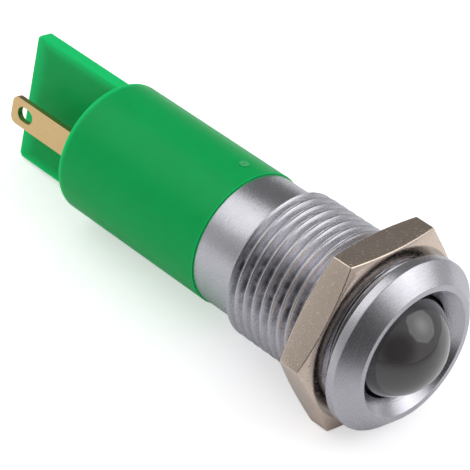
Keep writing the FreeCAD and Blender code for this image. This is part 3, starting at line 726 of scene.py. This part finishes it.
def make_gold_plate():
    """Warm yellow metal with lengthwise marks and darker punched edges."""
    material, tree, place = fresh_material("gold_plated_brass")
    stretch = add(tree, "ShaderNodeVectorMath", {0: place, 1: MARK_STRETCH}, operation="MULTIPLY")
    marks = add(tree, "ShaderNodeTexNoise", {
        "Vector": stretch.outputs["Vector"], "Scale": 1 / ROLLING_MARK, "Detail": 3.0,
    })
    own = add(tree, "ShaderNodeTexCoord")
    facing = add(tree, "ShaderNodeVectorMath", {
        0: own.outputs["Normal"], 1: tab_side,
    }, operation="DOT_PRODUCT")
    broad = add(tree, "ShaderNodeMath", {0: facing.outputs["Value"]}, operation="ABSOLUTE")
    rolled = add(tree, "ShaderNodeMapRange", {
        "Value": broad.outputs["Value"], "From Min": 0.35, "From Max": 0.85,
    })
    plate = add(tree, "ShaderNodeMix", {
        "Factor": marks.outputs["Fac"], "A": colour("f0c98c"), "B": colour("fadca4"),
    }, data_type="RGBA")
    tone = add(tree, "ShaderNodeMix", {
        "Factor": rolled.outputs["Result"], "A": colour("d0a878"), "B": plate.outputs["Result"],
    }, data_type="RGBA")
    gloss = add(tree, "ShaderNodeMapRange", {
        "Value": marks.outputs["Fac"], "To Min": 0.26, "To Max": 0.44,
    })
    scratch = add(tree, "ShaderNodeBump", {
        "Height": marks.outputs["Fac"], "Strength": 0.3, "Distance": SCRATCH_DEPTH * MM,
    })
    shader = add(tree, "ShaderNodeBsdfPrincipled", {
        "Base Color": tone.outputs["Result"],
        "Metallic": 1.0,
        "Roughness": gloss.outputs["Result"],
        "Normal": scratch.outputs["Normal"],
    })
    add(tree, "ShaderNodeOutputMaterial", {"Surface": shader.outputs["BSDF"]})
    return material


gold_plate = make_gold_plate()
print("gold plate: rolling marks", ROLLING_MARK, "mm")

# %% [markdown]
# ## The finishes inside
#
# What the housing and the lens hide is still there, and still gets the finish of the real thing.
# These finishes differ in colour, grain and gloss only, so one function makes them from a table.

# %% The table of finishes
# each: slot, material, darker and lighter tone, grain in mm, roughness, other sockets
INNER_FINISHES = (
    # moulded rubber: dull black with a bloom
    ("black_rubber", "moulded_nitrile_rubber", "101010", "1c1c1d", 0.3, 0.7, {"IOR": 1.52}),
    # moulded nylon: black with a soft gloss
    ("black_nylon", "moulded_black_nylon", "121212", "1d1d1e", 0.2, 0.5, {"IOR": 1.53}),
    # cast epoxy: clear and glossy, a little yellow
    ("clear_epoxy", "cast_clear_epoxy", "e8e4da", "f4f1ea", 0.8, 0.06,
     {"IOR": 1.53, "Transmission Weight": 0.9}),
    # tinned steel wire: bright grey
    ("tinned_lead", "tinned_steel", "b9b9bb", "d4d4d6", 0.15, 0.3, {"Metallic": 1.0}),
    # sawn crystal: yellow-green and shiny
    ("lamp_crystal", "gallium_phosphide_crystal", "b09a50", "c9b468", 0.1, 0.25, {"IOR": 3.2}),
    # pressed laminate: green lacquer over a weave
    ("board_laminate", "glass_epoxy_laminate", "1c5a2e", "246a38", 0.25, 0.45, {"IOR": 1.55}),
    # fired ceramic: fine brown-black grain
    ("chip_ceramic", "fired_alumina", "3a3230", "4c4340", 0.12, 0.5, {"IOR": 1.76}),
    # moulded epoxy: dull black
    ("black_moulding", "moulded_epoxy", "141414", "202021", 0.15, 0.6, {"IOR": 1.55}),
    # flowed solder: bright, slightly frosted
    ("solder", "flowed_tin_solder", "aeb0b4", "c8c9cc", 0.3, 0.28, {"Metallic": 1.0}),
    # cast resin: glossy black with soft waves
    ("resin_fill", "cast_potting_resin", "0c0c0d", "161617", 1.2, 0.2, {"IOR": 1.53}),
)
print("finishes inside:", len(INNER_FINISHES))

# %% The finishes inside
INNER_RELIEF = 0.02
GLOSS_SPREAD = 0.2


def make_grained(name, dark, light, grain, roughness, sockets):
    """A material whose colour and gloss vary over grains of a size in millimetres."""
    material, tree, place = fresh_material(name)
    grains = add(tree, "ShaderNodeTexNoise", {"Vector": place, "Scale": 1 / grain, "Detail": 3.0})
    tone = add(tree, "ShaderNodeMix", {
        "Factor": grains.outputs["Fac"], "A": colour(dark), "B": colour(light),
    }, data_type="RGBA")
    gloss = add(tree, "ShaderNodeMapRange", {
        "Value": grains.outputs["Fac"],
        "To Min": roughness * (1 - GLOSS_SPREAD), "To Max": roughness * (1 + GLOSS_SPREAD),
    })
    relief = add(tree, "ShaderNodeBump", {
        "Height": grains.outputs["Fac"], "Strength": 0.2, "Distance": INNER_RELIEF * MM,
    })
    shader = add(tree, "ShaderNodeBsdfPrincipled", {
        "Base Color": tone.outputs["Result"],
        "Roughness": gloss.outputs["Result"],
        "Normal": relief.outputs["Normal"],
        **sockets,
    })
    add(tree, "ShaderNodeOutputMaterial", {"Surface": shader.outputs["BSDF"]})
    return material


slot_materials = {
    "satin_chrome": satin_chrome,
    "nickel_plate": barrel_nickel,
    "smoked_lens": smoked_polycarbonate,
    "green_nylon": green_nylon,
    "gold_plate": gold_plate,
}
for slot, *finish in INNER_FINISHES:
    slot_materials[slot] = make_grained(*finish)
print("materials:", len(slot_materials))

# %% [markdown]
# ## Every solid gets its finish
#
# The record says which finish each solid has. The pieces that are made below replace three of the
# solids; all the others are seen as they are.

# %% Every solid gets its finish
for part in frame["record"]["subparts"]:
    materials = nodes[part["node"]].data.materials
    materials.clear()
    materials.append(slot_materials[part["material_slot"]])
print("finished solids:", len(nodes))

# %% [markdown]
# ## Outlines with rounded corners
#
# Real edges are never knife sharp: a rounded edge catches a thin line of light, and that line makes
# metal look like metal. One function rounds the corners of an outline, one turns an outline about
# the axis, and one seats a finished piece on its body.


# %% Rounded outlines
def rounded(corners, steps=4, closed=True):
    """Points of an outline whose corners (x, y, radius) are rounded off."""
    outline = []
    count = len(corners)
    for index, (x, y, radius) in enumerate(corners):
        corner = Vector((x, y))
        at_end = not closed and index in (0, count - 1)
        if radius == 0 or at_end:
            outline.append(corner)
            continue
        back = (Vector(corners[index - 1][:2]) - corner).normalized()
        ahead = (Vector(corners[(index + 1) % count][:2]) - corner).normalized()
        half = back.angle(ahead) / 2
        centre = corner + (back + ahead).normalized() * radius / math.sin(half)
        start = corner + back * radius / math.tan(half) - centre
        end = corner + ahead * radius / math.tan(half) - centre
        for step in range(steps + 1):
            share = step / steps
            outline.append(centre + start.lerp(end, share).normalized() * radius)
    return outline


square = rounded([(0, 0, 0.1), (1, 0, 0.1), (1, 1, 0.1), (0, 1, 0.1)])
print("a square with rounded corners has", len(square), "points")


# %% Turning
def ring_face(mesh, first, second, row, next_row):
    """One quad between two neighbouring columns of vertices."""
    mesh.faces.new((first[row], first[next_row], second[next_row], second[row]))


def on_circle(mesh, radius, y, angle):
    """A vertex at a radius, a station along the axis and an angle round it."""
    return mesh.verts.new((radius * math.cos(angle) * MM, y * MM, radius * math.sin(angle) * MM))


def turn_profile(mesh, profile, columns):
    """Turns an open outline of (radius, y) about the axis."""
    made = []
    for index in range(columns):
        angle = math.tau * index / columns
        made.append([on_circle(mesh, radius, y, angle) for radius, y in profile])
    for first, second in zip(made, made[1:] + made[:1]):
        for row in range(len(profile) - 1):
            ring_face(mesh, first, second, row, row + 1)


tube = bmesh.new()
turn_profile(tube, [(1, 0), (1, 1)], columns=8)
print("a plain tube turned in 8 columns has", len(tube.faces), "faces")
tube.free()

# %% Seating a piece
WELD = 0.0005 * MM
SHARP = math.radians(40)


def seat(name, mesh, body, slot, *replaced):
    """Makes an object of a mesh, smooths it, seats it on its body, and gives it the material of its
    slot.
    """
    bmesh.ops.remove_doubles(mesh, verts=mesh.verts, dist=WELD)
    bmesh.ops.recalc_face_normals(mesh, faces=mesh.faces)
    data = bpy.data.meshes.new(name)
    mesh.to_mesh(data)
    mesh.free()
    data.shade_smooth()
    data.set_sharp_from_angle(angle=SHARP)
    piece = bpy.data.objects.new(name, data)
    scene.collection.objects.link(piece)
    data.materials.append(slot_materials[slot])
    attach(piece, body)
    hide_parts(*replaced)
    triangles = sum(len(face.vertices) - 2 for face in data.polygons)
    print(name, "has", triangles, "triangles")


print("edges past", round(math.degrees(SHARP)), "degrees stay sharp")

# %% [markdown]
# ## The thread
#
# The bushing is one turned piece. Its outline is turned about the axis except where the thread
# runs: there a grid follows the helix. Blender's screw modifier could wind a thread too, but it
# leaves open ends that have to be cut and closed.
#
# Each row of the grid is one place on the thread's section, from crest to root, and climbs one
# pitch in a full turn, so the flanks are smooth however coarse the grid is. The section is the
# metric one: 60 degree flanks, a narrow flat crest and a round root. In front the thread runs out
# into a plain neck behind the flange, and behind it ends in a small chamfer.

# %% The thread's section
PITCH = 1.0
THREAD_DEPTH = 0.613
CREST_HALF = PITCH / 16
ROOT_ROUND = 0.144
FLANK_ANGLE = math.radians(30)
NECK_END = 0.6
END_RADIUS = 6.87


def thread_radius(offset):
    """Radius of the thread at a distance along the axis from the middle of a crest."""
    away = abs(offset)
    if away <= CREST_HALF:
        return CREST_RADIUS
    from_root = PITCH / 2 - away
    if from_root < ROOT_ROUND * math.cos(FLANK_ANGLE):
        root = CREST_RADIUS - THREAD_DEPTH + ROOT_ROUND
        return root - math.sqrt(ROOT_ROUND ** 2 - from_root ** 2)
    return CREST_RADIUS - (away - CREST_HALF) / math.tan(FLANK_ANGLE)


def at_ends(radius, y):
    """The radius at a station, with the plain neck in front and the small chamfer behind."""
    neck = CREST_RADIUS - max(0, y - NECK_END)
    return min(max(radius, neck), END_RADIUS + THREAD_END - y)


print("thread radius from", round(thread_radius(PITCH / 2), 3), "to", CREST_RADIUS, "mm")

# %% The threaded surface
COLUMNS = 192
SHANK_RADIUS = 6.26
GROOVE_FLOOR = -0.5
# where the first crest lies at angle 0, so that the thread ends as it does in the photograph
CREST_PHASE = 0.17
# places along one pitch, from the middle of a crest: close together at the crest and the root
SECTION = (0.0, 0.045, 0.075, 0.22, 0.37, 0.42, 0.46, 0.5, 0.54, 0.58, 0.63, 0.78, 0.925, 0.955)

mesh = bmesh.new()
turns = math.ceil(THREAD_END / PITCH) + 2
grid = []
for column in range(COLUMNS + 1):
    share = column / COLUMNS
    angle = math.tau * share
    line = []
    for turn in range(-1, turns):
        for offset in SECTION:
            y = (turn + offset - share) * PITCH + CREST_PHASE
            y = min(max(y, GROOVE_FLOOR), THREAD_END)
            from_crest = ((y - CREST_PHASE) / PITCH + share + 0.5) % 1 - 0.5
            radius = at_ends(thread_radius(from_crest * PITCH), y)
            line.append(on_circle(mesh, radius, y, angle))
    line.append(on_circle(mesh, SHANK_RADIUS, THREAD_END, angle))
    grid.append(line)
for first, second in zip(grid, grid[1:]):
    for row in range(len(first) - 1):
        ring_face(mesh, first, second, row, row + 1)
print("the thread's grid has", len(grid), "columns of", len(grid[0]), "vertices")

# %% [markdown]
# ## The bezel, the flange and the shank
#
# The rest of the bushing is turned from one outline. It starts in the groove of the seal ring
# behind the flange, goes round the flange and over the bevel to the front rim, down the cone to the
# window that the dome stands in, behind the lip, along the bore and round the rear end to the
# shank, where it meets the thread.

# %% The bezel, the flange and the shank
BEZEL_FRONT = bushing_low.y
BEZEL_RADIUS = bushing_high.x
GROOVE_RADIUS = 7.34
RIM_FRONT = -1.08
RIM_BACK = -0.25
MOUTH_RADIUS = 5.93
FACE_RADIUS = 6.46
WINDOW_RADIUS = 4.85
RECESS_DEPTH = 1.3
LIP_DEPTH = 0.7
WINDOW_FRONT = BEZEL_FRONT + RECESS_DEPTH
LIP_BACK = WINDOW_FRONT + LIP_DEPTH
BORE_RADIUS = 5.3
EDGE = 0.1
FINE_EDGE = 0.05
FLANGE_EDGE = 0.08
BEVEL_EDGE = 0.2
LIP_EDGE = 0.04
turn_profile(mesh, rounded([
    (CREST_RADIUS, GROOVE_FLOOR, 0),
    (GROOVE_RADIUS, GROOVE_FLOOR, 0),
    (GROOVE_RADIUS, 0, FINE_EDGE),
    (BEZEL_RADIUS + RIM_BACK, 0, FLANGE_EDGE),
    (BEZEL_RADIUS, RIM_BACK, FLANGE_EDGE),
    (BEZEL_RADIUS, RIM_FRONT, BEVEL_EDGE),
    (FACE_RADIUS, BEZEL_FRONT, EDGE),
    (MOUTH_RADIUS, BEZEL_FRONT, EDGE),
    (WINDOW_RADIUS, WINDOW_FRONT, LIP_EDGE),
    (WINDOW_RADIUS, LIP_BACK, 0),
    (BORE_RADIUS, LIP_BACK, 0),
    (BORE_RADIUS, bushing_high.y, EDGE),
    (SHANK_RADIUS, bushing_high.y, EDGE),
    (SHANK_RADIUS, THREAD_END, 0),
], closed=False), COLUMNS)
seat("threaded_bushing", mesh, "light", "satin_chrome", "bezel_bushing")

# %% [markdown]
# ## The nut
#
# The nut clamps the panel against the flange. It could be cut from a prism and two cones with
# boolean cuts, but those leave long thin faces that shade badly. Here it is a stack of outlines:
# round holes, round faces, hexagon sides. All get the same number of points at the same angles, so
# that the stack closes with quads. Both faces have a chamfer, a shallow cone, so each outer point
# is set back the more, the farther it lies past the round face.

# %% Hexagons
NUT_WIDTH = 2 * -nut_low.z
NUT_CORNER = 0.12
LEAST_CORNER = 0.02
FLAT_STEPS = 14


def hexagon(width):
    """Points round a hexagon with rounded corners; the width is across its flats."""
    reach = width / math.sqrt(3)
    corner_round = max(NUT_CORNER - (NUT_WIDTH - width) / 2, LEAST_CORNER)
    corners = []
    for side in range(6):
        angle = math.radians(60 * side)
        corners.append((reach * math.cos(angle), reach * math.sin(angle), corner_round))
    outline = []
    points = rounded(corners)
    per_corner = len(points) // 6
    for side in range(6):
        arc = points[side * per_corner:(side + 1) * per_corner]
        following = points[((side + 1) * per_corner) % len(points)]
        outline.extend(arc)
        for step in range(1, FLAT_STEPS):
            outline.append(arc[-1].lerp(following, step / FLAT_STEPS))
    return outline


outer = hexagon(NUT_WIDTH)
print("the nut is", round(NUT_WIDTH, 2), "mm across its flats, with", len(outer), "points round it")

# %% The nut
NUT_FACE_RADIUS = 8.13
CHAMFER_ANGLE = 16
NUT_CHAMFER = math.tan(math.radians(CHAMFER_ANGLE))
NUT_EDGE = 0.1
EDGE_STEPS = 3
FACE_EDGE = 0.03
NUT_HOLE = 6.99
NUT_LEAD = 0.2
REAR, FLAT, FRONT = -1, 0, 1

# each: an outline, its station along the axis, and the chamfer that it lies on
layers = []
for radius, y, chamfer in (
    (NUT_FACE_RADIUS + FACE_EDGE, nut_high.y, REAR),
    (NUT_FACE_RADIUS - FACE_EDGE, nut_high.y, FLAT),
    (NUT_HOLE + NUT_LEAD, nut_high.y, FLAT),
    (NUT_HOLE, nut_high.y - NUT_LEAD, FLAT),
    (NUT_HOLE, nut_low.y + NUT_LEAD, FLAT),
    (NUT_HOLE + NUT_LEAD, nut_low.y, FLAT),
    (NUT_FACE_RADIUS - FACE_EDGE, nut_low.y, FLAT),
    (NUT_FACE_RADIUS + FACE_EDGE, nut_low.y, FRONT),
):
    layers.append(([point.normalized() * radius for point in outer], y, chamfer))
for step in range(EDGE_STEPS + 1):
    angle = math.pi / 2 * step / EDGE_STEPS
    width = NUT_WIDTH - 2 * NUT_EDGE * (1 - math.sin(angle))
    layers.append((hexagon(width), nut_low.y + NUT_EDGE * (1 - math.cos(angle)), FRONT))
for step in range(EDGE_STEPS + 1):
    angle = math.pi / 2 * (1 - step / EDGE_STEPS)
    width = NUT_WIDTH - 2 * NUT_EDGE * (1 - math.sin(angle))
    layers.append((hexagon(width), nut_high.y - NUT_EDGE * (1 - math.cos(angle)), REAR))

mesh = bmesh.new()
rings = []
for points, y, chamfer in layers:
    ring = []
    for point in points:
        past_face = max(point.length - NUT_FACE_RADIUS, 0)
        station = y + chamfer * NUT_CHAMFER * past_face
        ring.append(mesh.verts.new((point.x * MM, station * MM, point.y * MM)))
    rings.append(ring)
for first, second in zip(rings, rings[1:] + rings[:1]):
    for index in range(len(first)):
        ring_face(mesh, first, second, index, (index + 1) % len(first))
seat("hexagon_nut", mesh, "nut", "nickel_plate", "panel_nut")

# %% [markdown]
# ## The lens
#
# The dome is close to a half sphere on a short cylinder, with a collar that the lip of the bushing
# holds in, and a hollow for the lamp. Its reflections show every facet, so it is turned with many
# columns and steps.

# %% The lens
DOME_RADIUS = 4.8
DOME_CENTRE = lens_low.y + DOME_RADIUS
COLLAR_RADIUS = 5.26
COLLAR_DEPTH = 1.0
COLLAR_FRONT = lens_high.y - COLLAR_DEPTH
HOLLOW_RADIUS = 2.9
DOME_STEPS = 40
HOLLOW_STEPS = 20
LENS_COLUMNS = 128

profile = []
for step in range(DOME_STEPS + 1):
    angle = math.pi / 2 * step / DOME_STEPS
    profile.append((DOME_RADIUS * math.sin(angle), DOME_CENTRE - DOME_RADIUS * math.cos(angle)))
profile.append((DOME_RADIUS, COLLAR_FRONT))
profile.append((COLLAR_RADIUS, COLLAR_FRONT))
profile.append((COLLAR_RADIUS, lens_high.y))
for step in range(HOLLOW_STEPS + 1):
    angle = math.pi / 2 * (1 - step / HOLLOW_STEPS)
    profile.append((HOLLOW_RADIUS * math.sin(angle), lens_high.y - HOLLOW_RADIUS * math.cos(angle)))
mesh = bmesh.new()
turn_profile(mesh, profile, LENS_COLUMNS)
seat("smoked_dome_lens", mesh, "light", "smoked_lens", "dome_lens")

# %% [markdown]
# ## Finish
#
# The picture is shown with the plain Standard view, so that a colour renders about as it is
# written. The dressed part has to be as big as the solids.

# %% Finish
scene.view_settings.view_transform = "Standard"
